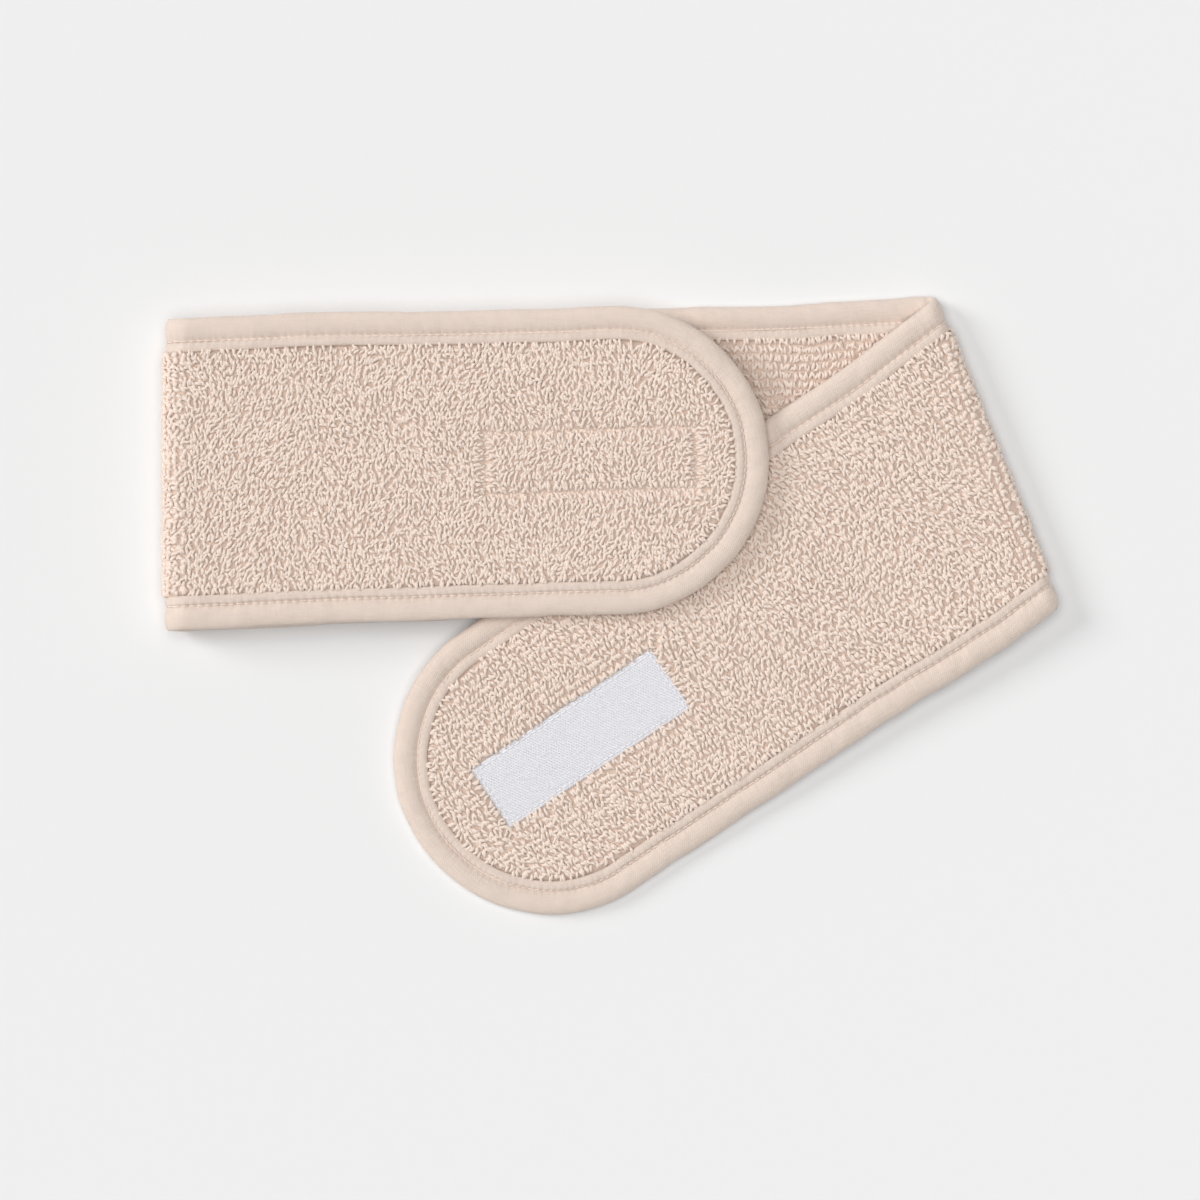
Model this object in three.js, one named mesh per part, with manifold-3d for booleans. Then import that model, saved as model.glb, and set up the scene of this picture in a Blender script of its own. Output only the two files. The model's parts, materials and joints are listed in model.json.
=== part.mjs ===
// Terry cloth wrap headband, laid flat and folded twice.
//
// One straight strip of double-faced terry with two round ends, bound all round its edge with
// a cotton tape, with a hook patch on the outer face near one end and a loop patch on the inner
// face near the other. The strip lies in three layers: the middle leg at the bottom, the lower
// leg folded over it along a slanting line on the right, and the top leg folded over both of
// them at the left.
//
// Millimetres, +Z up. The origin is the middle of the middle leg's underside, and +X runs along
// the middle leg from the left fold to the right fold. The lower leg reaches out past the middle
// leg's front edge, and slopes down there until its end lies on the table.
//
// Each fold is two hinges with a short bend between them, which together keep the length of the
// cloth when the fold opens. So every piece that crosses a fold is made in stretches.

import * as THREE from 'three';
import { mergeVertices } from 'three/addons/utils/BufferGeometryUtils.js';
import Module from 'manifold-3d';

const wasm = await Module();
wasm.setup();

// ---- Driving dimensions ----

const bandWidth = 87;
const clothThickness = 4.6; // ground cloth with the loops of both faces
const layerGap = 0.4; // between one folded layer and the next
const middleLegLength = 238.2; // along its centre line, between the outsides of the two folds
const topLegLength = 172.4; // from the outside of the left fold to the tip
const lowerLegLength = 199.3; // from the outside of the right fold to the tip
const lowerLegAngle = THREE.MathUtils.degToRad(33); // between the lower leg and the middle leg
const slopeClearance = 2.5; // from the middle leg's edge to where the lower leg starts to slope
const slopeRun = 58; // how far the slope reaches, square to the middle leg

const bindingWidth = 9.6; // how far the tape reaches in from the edge, on each face
const bindingWall = 1.2; // tape on each face
const bindingEdgeWall = 1.0; // tape around the edge
const fitGap = 0.3; // between a piece and what it is sewn to
const hingeGap = 0.3; // between two stretches of cloth that turn on one another

const seamInset = 6.7; // lockstitch line from the edge
const threadWidth = 0.5;
const threadHeight = 0.4;
const threadDepth = 0.1; // how far the thread lies below the tape's face
const innerSeamStop = 2; // the inner face's thread ends this far before a fold

const patchLength = 62;
const patchWidth = 20;
const patchThickness = 1.5;
const patchSeamInset = 1.3;
const hookPatchSetback = 23.8; // from the lower leg's tip to the patch
const loopPatchSetback = 19.4; // from the top leg's tip to the patch

const arcSegments = 12;
const endSegments = 20;

// ---- Derived sizes ----

const halfThickness = clothThickness / 2;
const layerPitch = clothThickness + layerGap;
const skew = lowerLegAngle / 2; // the right fold line leans this far from square
const slopeTop = -bandWidth / 2 - slopeClearance; // Y where the slope starts
const slopeFoot = slopeTop - slopeRun; // Y where it reaches the table
const slotHeight = clothThickness - 2 * bindingWall;
const tongueHeight = slotHeight - 2 * fitGap;
const grooveWidth = threadWidth + 2 * fitGap;
const grooveDepth = threadDepth + threadHeight + fitGap;
const far = 2 * (middleLegLength + topLegLength + lowerLegLength);

// A fold's own frame has +X pointing out of the fold, +Y along the fold line and +Z up, with
// its origin on the axis of the bend. skew leans the band across the fold line.
const leftFold = makeFold(layerPitch, 0);
const rightFold = makeFold(layerPitch / 2, skew);

function makeFold(radius, lean) {
  return {
    radius,
    lean,
    hinge: (Math.PI / 4) * radius, // each hinge lies this far out from, below or above the axis
    outside: (radius + halfThickness) / Math.cos(lean),
    drift: -Math.PI * radius * Math.tan(lean), // how far the band moves along the line
  };
}

const leftFoldX = -middleLegLength / 2 + leftFold.outside;
const rightFoldX = middleLegLength / 2 - rightFold.outside;
const topLegReach = topLegLength - leftFold.outside;
const lowerLegReach = lowerLegLength - rightFold.outside;

const leftFoldMatrix = new THREE.Matrix4()
  .makeTranslation(leftFoldX, 0, halfThickness + leftFold.radius)
  .multiply(new THREE.Matrix4().makeRotationZ(Math.PI));
const rightFoldMatrix = new THREE.Matrix4()
  .makeTranslation(rightFoldX, 0, halfThickness + rightFold.radius)
  .multiply(new THREE.Matrix4().makeRotationZ(skew));
const topLegMatrix = legMatrix(leftFold);
const lowerLegMatrix = legMatrix(rightFold);

// From a leg's frame, with +X towards its tip, to its fold's frame.
function legMatrix(fold) {
  return new THREE.Matrix4()
    .makeTranslation(0, fold.drift, fold.radius)
    .multiply(new THREE.Matrix4().makeRotationZ(Math.PI + fold.lean));
}

// ---- Solids ----

function toSolid(geometry) {
  geometry.deleteAttribute('normal');
  geometry.deleteAttribute('uv');
  const merged = mergeVertices(geometry, 1e-5);
  return new wasm.Manifold(
    new wasm.Mesh({
      numProp: 3,
      vertProperties: Float32Array.from(merged.attributes.position.array),
      triVerts: Uint32Array.from(merged.index.array),
    }),
  );
}

function toGeometry(body) {
  const mesh = body.getMesh();
  const geometry = new THREE.BufferGeometry();
  geometry.setAttribute('position', new THREE.BufferAttribute(mesh.vertProperties, mesh.numProp));
  geometry.setIndex(new THREE.BufferAttribute(mesh.triVerts, 1));
  geometry.computeVertexNormals();
  return geometry;
}

// A plan outline, extruded through the height of every layer.
function planPrism(shape, matrix = new THREE.Matrix4()) {
  const geometry = new THREE.ExtrudeGeometry(shape, {
    depth: far,
    bevelEnabled: false,
    curveSegments: endSegments,
  });
  geometry.translate(0, 0, -far / 2);
  return toSolid(geometry.applyMatrix4(matrix));
}

// An outline across a fold, with its y as height, extruded along the fold line.
function foldPrism(shape) {
  const geometry = new THREE.ExtrudeGeometry(shape, {
    depth: far,
    bevelEnabled: false,
    curveSegments: arcSegments,
  });
  geometry.rotateX(Math.PI / 2);
  geometry.translate(0, far / 2, 0);
  return toSolid(geometry);
}

function polygon(...points) {
  return new THREE.Shape(points.map(([x, y]) => new THREE.Vector2(x, y)));
}

// Both legs and the half turn between them, from low to high above the cloth's mid surface.
function foldShell(fold, low, high) {
  const inner = Math.max(fold.radius + low, 0.05);
  const outer = fold.radius + high;
  const shape = new THREE.Shape();
  shape.moveTo(-far / 2, -outer);
  shape.lineTo(0, -outer);
  shape.absarc(0, 0, outer, -Math.PI / 2, Math.PI / 2, false);
  shape.lineTo(-far / 2, outer);
  shape.lineTo(-far / 2, inner);
  shape.lineTo(0, inner);
  shape.absarc(0, 0, inner, Math.PI / 2, -Math.PI / 2, true);
  shape.lineTo(-far / 2, -inner);
  return foldPrism(shape);
}

// What the leg above a fold keeps: up to the hinge on the outside, mitred on the inside.
function legZone(fold) {
  const mitre = hingeGap * Math.SQRT1_2;
  const edge = fold.hinge - hingeGap / 2;
  return polygon([-far, far], [-far, 0], [-mitre, 0], [edge, edge + mitre], [edge, far]);
}

// What the leg below a fold keeps, which is the same turned upside down.
function baseZone(fold) {
  const mitre = hingeGap * Math.SQRT1_2;
  const edge = fold.hinge - hingeGap / 2;
  return polygon([-far, 0], [-far, -far], [edge, -far], [edge, -edge - mitre], [-mitre, 0]);
}

// What the bend between the two hinges keeps.
function bendZone(fold) {
  const mitre = hingeGap * Math.SQRT1_2;
  const edge = fold.hinge - hingeGap / 2;
  return polygon([mitre, 0], [edge + mitre, -edge], [far, -edge], [far, edge], [edge + mitre, edge]);
}

// The band's plan outline with a round end, brought in from the edge by inset.
function roundEndedStrip(reach, inset, matrix) {
  const half = bandWidth / 2 - inset;
  const centre = reach - bandWidth / 2;
  const shape = new THREE.Shape();
  shape.moveTo(-far / 4, -half);
  shape.lineTo(centre, -half);
  shape.absarc(centre, 0, half, -Math.PI / 2, Math.PI / 2, false);
  shape.lineTo(-far / 4, half);
  return planPrism(shape, matrix);
}

function straightStrip(half, middle = 0) {
  return planPrism(
    polygon([-far / 2, middle - half], [far / 2, middle - half], [far / 2, middle + half],
      [-far / 2, middle + half]),
  );
}

// Lets a piece of the lower leg down to the table. The piece is in the right fold's frame.
function lowered(body) {
  const laid = body.transform(rightFoldMatrix.elements);
  const between = (low, high) => laid.intersect(
    planPrism(polygon([-far, low], [far, low], [far, high], [-far, high])),
  );
  const slope = layerPitch / slopeRun;
  const tilt = new THREE.Matrix4().set(1, 0, 0, 0, 0, 1, 0, 0, 0, slope, 1, -slope * slopeTop, 0, 0, 0, 1);
  const drop = new THREE.Matrix4().makeTranslation(0, 0, -layerPitch);
  return between(slopeTop, far)
    .add(between(slopeFoot, slopeTop).transform(tilt.elements))
    .add(between(-far, slopeFoot).transform(drop.elements))
    .transform(rightFoldMatrix.clone().invert().elements);
}

// ---- Stretches ----
// A stretch is the part of the band that one body carries. shell(low, high) is a layer of it
// between two heights above the mid surface, outer face positive, open(low, high) is the same
// layer run on past the stretch's ends, and strip(inset) is its plan outline.

function endLeg(fold, reach, matrix) {
  const zone = foldPrism(legZone(fold));
  const flat = foldPrism(polygon([-far, -far], [-innerSeamStop, -far], [-innerSeamStop, far], [-far, far]));
  return {
    shell: (low, high) => foldShell(fold, low, high).intersect(zone),
    open: (low, high) => foldShell(fold, low, high),
    strip: (inset) => roundEndedStrip(reach, inset, matrix),
    flat,
  };
}

function bend(fold) {
  const zone = foldPrism(bendZone(fold));
  return {
    shell: (low, high) => foldShell(fold, low, high).intersect(zone),
    open: (low, high) => foldShell(fold, low, high),
    strip: (inset) => straightStrip((bandWidth / 2 - inset) / Math.cos(fold.lean), fold.drift / 2),
  };
}

function middleLeg() {
  const ends = [
    { fold: leftFold, matrix: leftFoldMatrix, side: polygon([-far, -far], [1, -far], [1, far], [-far, far]) },
    { fold: rightFold, matrix: rightFoldMatrix, side: polygon([-1, -far], [far, -far], [far, far], [-1, far]) },
  ];
  const joined = (makeEnd) => {
    const halves = ends.map((end) => makeEnd(end).transform(end.matrix.elements).intersect(planPrism(end.side)));
    return halves[0].add(halves[1]);
  };
  const below = ({ fold }) => foldPrism(polygon([-far, -far], [far, -far], [far, 0], [-far, 0]));
  const flat = joined(() => foldPrism(
    polygon([-far, -far], [-innerSeamStop, -far], [-innerSeamStop, far], [-far, far]),
  ));
  return {
    shell: (low, high) => joined(({ fold }) => foldShell(fold, low, high).intersect(foldPrism(baseZone(fold)))),
    open: (low, high) => joined((end) => foldShell(end.fold, low, high).intersect(below(end))),
    strip: (inset) => straightStrip(bandWidth / 2 - inset),
    flat,
  };
}

// ---- Pieces of a stretch ----

function terry(stretch) {
  const body = stretch
    .shell(-halfThickness, halfThickness)
    .intersect(stretch.strip(bindingWidth + fitGap));
  const tongue = stretch
    .shell(-tongueHeight / 2, tongueHeight / 2)
    .intersect(stretch.strip(bindingEdgeWall + fitGap));
  return body.add(tongue);
}

function alongSeam(stretch, width) {
  return stretch.strip(seamInset - width / 2).subtract(stretch.strip(seamInset + width / 2));
}

function binding(stretch) {
  const slot = stretch.open(-slotHeight / 2, slotHeight / 2).intersect(stretch.strip(bindingEdgeWall));
  const channel = alongSeam(stretch, grooveWidth);
  const outerGroove = channel.intersect(
    stretch.open(halfThickness - grooveDepth, halfThickness + grooveDepth),
  );
  let tape = stretch
    .shell(-halfThickness, halfThickness)
    .intersect(stretch.strip(0))
    .subtract(stretch.strip(bindingWidth))
    .subtract(slot)
    .subtract(outerGroove);
  if (stretch.flat) {
    const innerGroove = channel
      .intersect(stretch.open(-halfThickness - grooveDepth, -halfThickness + grooveDepth))
      .intersect(stretch.flat);
    tape = tape.subtract(innerGroove);
  }
  return tape;
}

function outerThread(stretch) {
  const top = halfThickness - threadDepth;
  return alongSeam(stretch, threadWidth).intersect(stretch.shell(top - threadHeight, top));
}

function innerThread(stretch) {
  const top = threadDepth - halfThickness;
  const flat = stretch.flat.intersect(stretch.shell(top, top + threadHeight));
  return alongSeam(stretch, threadWidth).intersect(flat);
}

// ---- Patches ----

function patchBox(length, width, bottom, top, matrix, setback, reach) {
  const geometry = new THREE.BoxGeometry(length, width, top - bottom);
  geometry.translate(reach - setback - patchLength / 2, 0, (top + bottom) / 2);
  return toSolid(geometry.toNonIndexed().applyMatrix4(matrix));
}

// face is 1 for a patch on the outer face and -1 for one on the inner face.
function patchSet(matrix, setback, reach, face) {
  const boxAt = (length, width, low, high) => {
    const heights = [face * low, face * high].sort((a, b) => a - b);
    return patchBox(length, width, heights[0], heights[1], matrix, setback, reach);
  };
  const ring = (width, low, high) => {
    const inset = 2 * (patchSeamInset - width / 2);
    const outline = boxAt(patchLength - inset, patchWidth - inset, low, high);
    const hole = boxAt(patchLength - inset - 2 * width, patchWidth - inset - 2 * width, low - 1, high + 1);
    return outline.subtract(hole);
  };
  const top = halfThickness;
  const bottom = top - patchThickness;
  const threadTop = top - threadDepth;
  return {
    pocket: boxAt(patchLength + 2 * fitGap, patchWidth + 2 * fitGap, bottom - fitGap, top + 1),
    patch: boxAt(patchLength, patchWidth, bottom, top).subtract(ring(grooveWidth, top - grooveDepth, top + 1)),
    thread: ring(threadWidth, threadTop - threadHeight, threadTop),
  };
}

// ---- Materials ----

const terryLook = { color: 0xdbc7b9, roughness: 0.95, metalness: 0 };
const bindingLook = { color: 0xe4d3c8, roughness: 0.85, metalness: 0 };
const threadLook = { color: 0xe2d0c3, roughness: 0.7, metalness: 0 };
const patchLook = { color: 0xe6e6ea, roughness: 0.6, metalness: 0 };
const patchThreadLook = { color: 0xf2f2f2, roughness: 0.6, metalness: 0 };

function piece(name, body, look) {
  const mesh = new THREE.Mesh(toGeometry(body), new THREE.MeshStandardMaterial(look));
  mesh.name = name;
  return mesh;
}

// ---- Assembly ----

// The part of a solid on the side of +Y (1) or -Y (-1) of its own frame.
function half(body, side) {
  const low = Math.min(side, 0) * far;
  const high = Math.max(side, 0) * far;
  return body.intersect(planPrism(polygon([-far, low], [far, low], [far, high], [-far, high])));
}

// The binding and threads of a stretch that has two separate edges. rear is the side of the
// object's +Y edge in the stretch's own frame.
function edgePieces(name, stretch, rear) {
  const tape = binding(stretch);
  const outer = outerThread(stretch);
  const pieces = [];
  for (const [edge, side] of [['rear', rear], ['front', -rear]]) {
    pieces.push(piece(`binding_${name}_${edge}`, half(tape, side), bindingLook));
    pieces.push(piece(`seam_outer_${name}_${edge}`, half(outer, side), threadLook));
    if (stretch.flat) {
      pieces.push(piece(`seam_inner_${name}_${edge}`, half(innerThread(stretch), side), threadLook));
    }
  }
  return pieces;
}

// lay gives each piece of the leg its final shape.
function endLegPieces(name, stretch, patchName, patches, lay = (body) => body) {
  return [
    piece(`terry_${name}`, lay(terry(stretch).subtract(patches.pocket)), terryLook),
    piece(`binding_${name}`, lay(binding(stretch)), bindingLook),
    piece(`seam_outer_${name}`, lay(outerThread(stretch)), threadLook),
    piece(`seam_inner_${name}`, lay(innerThread(stretch)), threadLook),
    piece(`${patchName}_patch`, lay(patches.patch), patchLook),
    piece(`${patchName}_patch_seam`, lay(patches.thread), patchThreadLook),
  ];
}

function foldGroup(matrix) {
  const group = new THREE.Group();
  matrix.decompose(group.position, group.quaternion, group.scale);
  return group;
}

const headband = new THREE.Group();

const middleStretch = middleLeg();
headband.add(piece('terry_middle_leg', terry(middleStretch), terryLook));
headband.add(...edgePieces('middle_leg', middleStretch, 1));

const leftBend = bend(leftFold);
const topLeg = endLeg(leftFold, topLegReach, topLegMatrix);
const loopPatch = patchSet(topLegMatrix, loopPatchSetback, topLegReach, -1);
const leftGroup = foldGroup(leftFoldMatrix);
leftGroup.add(piece('terry_left_bend', terry(leftBend), terryLook));
leftGroup.add(...edgePieces('left_bend', leftBend, -1));
leftGroup.add(...endLegPieces('top_leg', topLeg, 'loop', loopPatch));
headband.add(leftGroup);

const rightBend = bend(rightFold);
const lowerLeg = endLeg(rightFold, lowerLegReach, lowerLegMatrix);
const hookPatch = patchSet(lowerLegMatrix, hookPatchSetback, lowerLegReach, 1);
const rightGroup = foldGroup(rightFoldMatrix);
rightGroup.add(piece('terry_right_bend', terry(rightBend), terryLook));
rightGroup.add(...edgePieces('right_bend', rightBend, 1));
rightGroup.add(...endLegPieces('lower_leg', lowerLeg, 'hook', hookPatch, lowered));
headband.add(rightGroup);

export default headband;
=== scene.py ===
"""Terry wrap headband, laid flat and folded twice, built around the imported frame.

Every soft piece is laid out on the unfolded strip first, as s along its centre line, v across it
and n above the middle of the cloth with the outer face positive, and then folded by place().
"""
import json
import math
from types import SimpleNamespace

import bpy
import numpy as np
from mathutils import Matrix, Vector


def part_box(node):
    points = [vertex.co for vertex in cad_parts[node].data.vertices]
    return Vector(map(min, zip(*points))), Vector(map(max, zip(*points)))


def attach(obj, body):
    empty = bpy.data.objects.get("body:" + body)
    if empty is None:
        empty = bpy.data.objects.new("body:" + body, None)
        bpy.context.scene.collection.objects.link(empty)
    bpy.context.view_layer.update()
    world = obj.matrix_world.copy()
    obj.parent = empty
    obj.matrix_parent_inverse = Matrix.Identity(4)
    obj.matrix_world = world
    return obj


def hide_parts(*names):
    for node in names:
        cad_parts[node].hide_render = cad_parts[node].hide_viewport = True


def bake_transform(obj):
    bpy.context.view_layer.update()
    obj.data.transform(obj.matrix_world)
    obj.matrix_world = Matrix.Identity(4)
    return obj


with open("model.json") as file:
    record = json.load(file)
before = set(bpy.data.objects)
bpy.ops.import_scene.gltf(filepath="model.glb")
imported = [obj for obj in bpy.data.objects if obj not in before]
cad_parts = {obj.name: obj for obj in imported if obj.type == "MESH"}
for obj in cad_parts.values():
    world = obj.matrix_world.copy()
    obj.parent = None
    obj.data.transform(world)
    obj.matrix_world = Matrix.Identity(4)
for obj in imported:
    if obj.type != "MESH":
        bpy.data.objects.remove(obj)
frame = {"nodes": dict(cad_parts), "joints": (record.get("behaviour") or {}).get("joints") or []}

bl_info = {
    "name": "Terry wrap headband",
    "version": (1, 0, 0),
    "blender": (4, 5, 0),
    "location": "3D View > Sidebar > Headband",
    "description": "Builds a folded terry wrap headband with its binding, seams and patches",
    "category": "Object",
}

MM = 0.001

# A face of the cloth by its side of the middle, and its name.
FACES = ((1, "outer"), (-1, "inner"))

# ---- Smooth noise with a fixed seed ----


def noise(x, y, size, seed):
    """Smooth noise from -1 to 1 over a plane, with bumps about size across."""
    x, y = np.broadcast_arrays(np.asarray(x, float) / size, np.asarray(y, float) / size)
    column, row = np.floor(x).astype(np.int64), np.floor(y).astype(np.int64)
    fx, fy = x - column, y - row
    fx, fy = fx * fx * (3 - 2 * fx), fy * fy * (3 - 2 * fy)

    def value(i, j):
        """A whole point's own value, from a hash of its two numbers and the seed."""
        mixed = (i * 374761393 + j * 668265263 + seed * 974634777) & 0x7FFFFFFF
        mixed = ((mixed ^ (mixed >> 13)) * 1274126177) & 0x7FFFFFFF
        return ((mixed ^ (mixed >> 16)) & 0xFFFF) / 32767.5 - 1

    near = value(column, row) * (1 - fx) + value(column + 1, row) * fx
    next_row = value(column, row + 1) * (1 - fx) + value(column + 1, row + 1) * fx
    return near * (1 - fy) + next_row * fy


# ---- The folded strip, worked out from the frame ----

JOINTS = {joint["name"]: joint for joint in frame["joints"]}


def read_fold(lower, upper):
    """A fold's radius, the axis of its half turn, and the directions out of it and along it.

    Its two hinges stand a quarter of a half turn's length above and below the axis, so that the
    cloth keeps its length when they open.
    """
    low, high = (np.array(JOINTS[name]["pos_m"], float) for name in (lower, upper))
    along = np.array(JOINTS[lower]["axis"], float)
    along /= np.linalg.norm(along)
    out = np.cross(along, (0.0, 0.0, 1.0))
    arm = (high[2] - low[2]) / 2
    return SimpleNamespace(
        radius=arm * 4 / math.pi, along=along, out=out, axis=(low + high) / 2 - out * arm
    )


LEFT = read_fold("left_fold_lower", "left_fold_upper")
RIGHT = read_fold("right_fold_lower", "right_fold_upper")

HALF_CLOTH = RIGHT.axis[2] - RIGHT.radius
top_low, top_high = (np.array(p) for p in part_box("binding_top_leg"))
lower_low = np.array(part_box("binding_lower_leg")[0])
HALF_BAND = (top_high[1] - top_low[1]) / 2

# Centres of the two round ends on the unfolded strip.
TOP_END = LEFT.axis[0] - math.pi * LEFT.radius - (top_high[0] - HALF_BAND - LEFT.axis[0])
lower_centre = lower_low[:2] + HALF_BAND - RIGHT.axis[:2]
LOWER_END = RIGHT.axis[0] + (
    math.pi * RIGHT.radius - lower_centre @ RIGHT.out[:2]
) / RIGHT.out[0]

# The lower leg slopes down to the table once it is past the middle leg's edge.
SLOPE_TOP = HALF_BAND + 2.5 * MM
SLOPE_RUN = 58 * MM
SLOPE_ROUNDING = 0.12
LAYER = 2 * RIGHT.radius

# The woven cloth ends inside the roll of the tape, this far from the band's edge.
HALF_SHEET = HALF_BAND - 2.2 * MM
# From a patch's edge to its stitching.
PATCH_SEAM = 1.25 * MM

# How this band lies: turned and spread a little about its right fold, and let out at its left.
RIGHT_TURN = math.radians(2.85)
RIGHT_SPREAD = 0.034
MIDDLE_REACH = 98 * MM
LOWER_TURN_REACH = 58 * MM
LOWER_SPREAD_REACH = 220 * MM
LEFT_SPREAD = 0.017
LEFT_SHIFT = 0.7 * MM
LEFT_REACH = 120 * MM
LEFT_LEAN = 0.027
LEFT_LEAN_REACH = 60 * MM
RIGHT_LEAN = 0.028
RIGHT_LEAN_REACH = 45 * MM
RIGHT_LEAN_FROM = 25 * MM

# The cloth's own unevenness: how high its waves are and how far its edges waver.
WAVE, WAVE_SIZE = 0.35 * MM, 42 * MM
WAVER, WAVER_SIZE = 0.4 * MM, 55 * MM
TABLE_GAP = 0.03 * MM


def across_fold(fold, s, v):
    """How far a flat point lies beyond the line where a fold starts, and how far along it."""
    x, y = s - fold.axis[0], v - fold.axis[1]
    return x * fold.out[0] + y * fold.out[1], x * fold.along[0] + y * fold.along[1]


def fade(distance, reach):
    """A smooth weight that is 1 at no distance and 0 from reach on."""
    return np.clip(1 - (distance / reach) ** 2, 0, 1) ** 2


def place(s, v, n):
    """Folds points of the flat strip into the three layers that lie on the table."""
    s, v, n = np.broadcast_arrays(s, v, n)
    at_left = fade(s - LEFT.axis[0], LEFT_REACH)
    v = v * (1 + LEFT_SPREAD * at_left) - LEFT_SHIFT * at_left
    points = np.stack([s, v, HALF_CLOTH - n], -1)
    for fold in (LEFT, RIGHT):
        beyond, along = across_fold(fold, s, v)
        angle = np.clip(beyond / fold.radius, 0, math.pi)
        reach = (fold.radius + n) * np.sin(angle) - np.maximum(beyond - math.pi * fold.radius, 0)
        turned = fold.axis + reach[..., None] * fold.out + along[..., None] * fold.along
        turned[..., 2] -= (fold.radius + n) * np.cos(angle)
        points = np.where((beyond > 0)[..., None], turned, points)
    return points + lie(points, s)


def lie(points, s):
    """How far the folded cloth lies from a plain fold."""
    x, y = points[..., 0] - RIGHT.axis[0], points[..., 1] - RIGHT.axis[1]
    beyond = x * RIGHT.out[0] + y * RIGHT.out[1]
    upper = points[..., 2] > RIGHT.axis[2]
    inside = np.where(s > 0, np.minimum(beyond, 0), -1.0)
    turn = RIGHT_TURN * fade(inside, np.where(upper, LOWER_TURN_REACH, MIDDLE_REACH))
    spread = RIGHT_SPREAD * fade(inside, np.where(upper, LOWER_SPREAD_REACH, MIDDLE_REACH))
    along = (x * RIGHT.along[0] + y * RIGHT.along[1]) * spread
    left = np.where(s < 0, fade(np.maximum(points[..., 0] - LEFT.axis[0], 0), LEFT_LEAN_REACH), 0)
    right = fade(inside, RIGHT_LEAN_REACH)
    lean = left * LEFT_LEAN * points[..., 1]
    lean = lean + right * RIGHT_LEAN * np.maximum(RIGHT_LEAN_FROM - points[..., 1], 0)
    past = np.where(s > RIGHT.axis[0], -SLOPE_TOP - points[..., 1], 0)
    down = LAYER * ease(past / SLOPE_RUN)
    wave = WAVE * noise(points[..., 0], points[..., 1], WAVE_SIZE, 3)
    height = np.maximum(points[..., 2] - down + wave, TABLE_GAP)
    across = along * RIGHT.along[0] - turn * y + lean
    return np.stack([across, along * RIGHT.along[1] + turn * x, height - points[..., 2]], -1)


def ease(share):
    """From 0 to 1 in a straight line whose two ends are rounded off."""
    soft = SLOPE_ROUNDING
    t = np.clip(share, -soft, 1 + soft)
    low = np.clip(t + soft, 0, 2 * soft) ** 2 / (4 * soft)
    high = np.clip(1 + soft - t, 0, 2 * soft) ** 2 / (4 * soft)
    return np.where(t < soft, low, np.where(t > 1 - soft, 1 - high, t))


def fold_line(fold, share, v):
    """Where on the flat strip a share of a fold's half turn is done, at v across."""
    beyond = share * math.pi * fold.radius
    return fold.axis[0] + (beyond - (v - fold.axis[1]) * fold.out[1]) / fold.out[0]


def fold_point(fold, share):
    """The same place folded, at the middle of the cloth."""
    return place(fold_line(fold, share, 0.0), 0.0, 0.0)


def make_stretch(name, bodies, fold, shares, nodes, way, centre=None):
    """A length of the band, from where a fold is outermost to a round end or under the stack.

    way is the way it points along s, shares are the parts of the fold between which it goes over
    from one body to the next, and cut gives s for v across where it starts.
    """
    return SimpleNamespace(
        name=name, bodies=bodies, fold=fold, shares=shares, nodes=nodes, way=way, centre=centre,
        cut=lambda v: fold_line(fold, 0.5, v),
    )


# Each stretch has turned fully with the bend before it is outermost.
STRETCHES = [
    make_stretch("top_leg", ("left_bend", "top_leg"), LEFT, (0.66, 1.0),
                 ("left_bend", "top_leg"), -1, TOP_END),
    make_stretch("middle_left", ("middle", "left_bend"), LEFT, (0.0, 0.34), ("middle_leg",), -1),
    make_stretch("middle_right", ("middle", "right_bend"), RIGHT, (0.0, 0.34), ("middle_leg",), 1),
    make_stretch("lower_leg", ("right_bend", "lower_leg"), RIGHT, (0.66, 1.0),
                 ("right_bend", "lower_leg"), 1, LOWER_END),
]
TOP_STRETCH, LOWER_STRETCH = STRETCHES[0], STRETCHES[3]


def owner(s, v):
    """The index of the stretch that a flat point belongs to."""
    left = s < fold_line(LEFT, 0.5, v)
    right = s > fold_line(RIGHT, 0.5, v)
    return np.where(left, 0, np.where(right, 3, np.where(s < 0, 1, 2)))


def bend_of(s, v):
    """From 0 on the flat legs to 1 where a fold is outermost."""
    turns = [across_fold(fold, s, v)[0] / fold.radius for fold in (LEFT, RIGHT)]
    return sum(np.sin(np.clip(turn, 0, math.pi)) for turn in turns)


def inset_of(s, v):
    """How far a flat point lies in from the band's edge."""
    past = np.maximum(np.maximum(TOP_END - s, s - LOWER_END), 0)
    return HALF_BAND - np.hypot(past, v)


def folded(s, v, n):
    """Where a flat point lies on the finished headband, whose edges waver a little."""
    return place(s, v + WAVER * noise(s, v * 0.2, WAVER_SIZE, 5), n)


# ---- Mesh and material helpers ----


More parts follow.
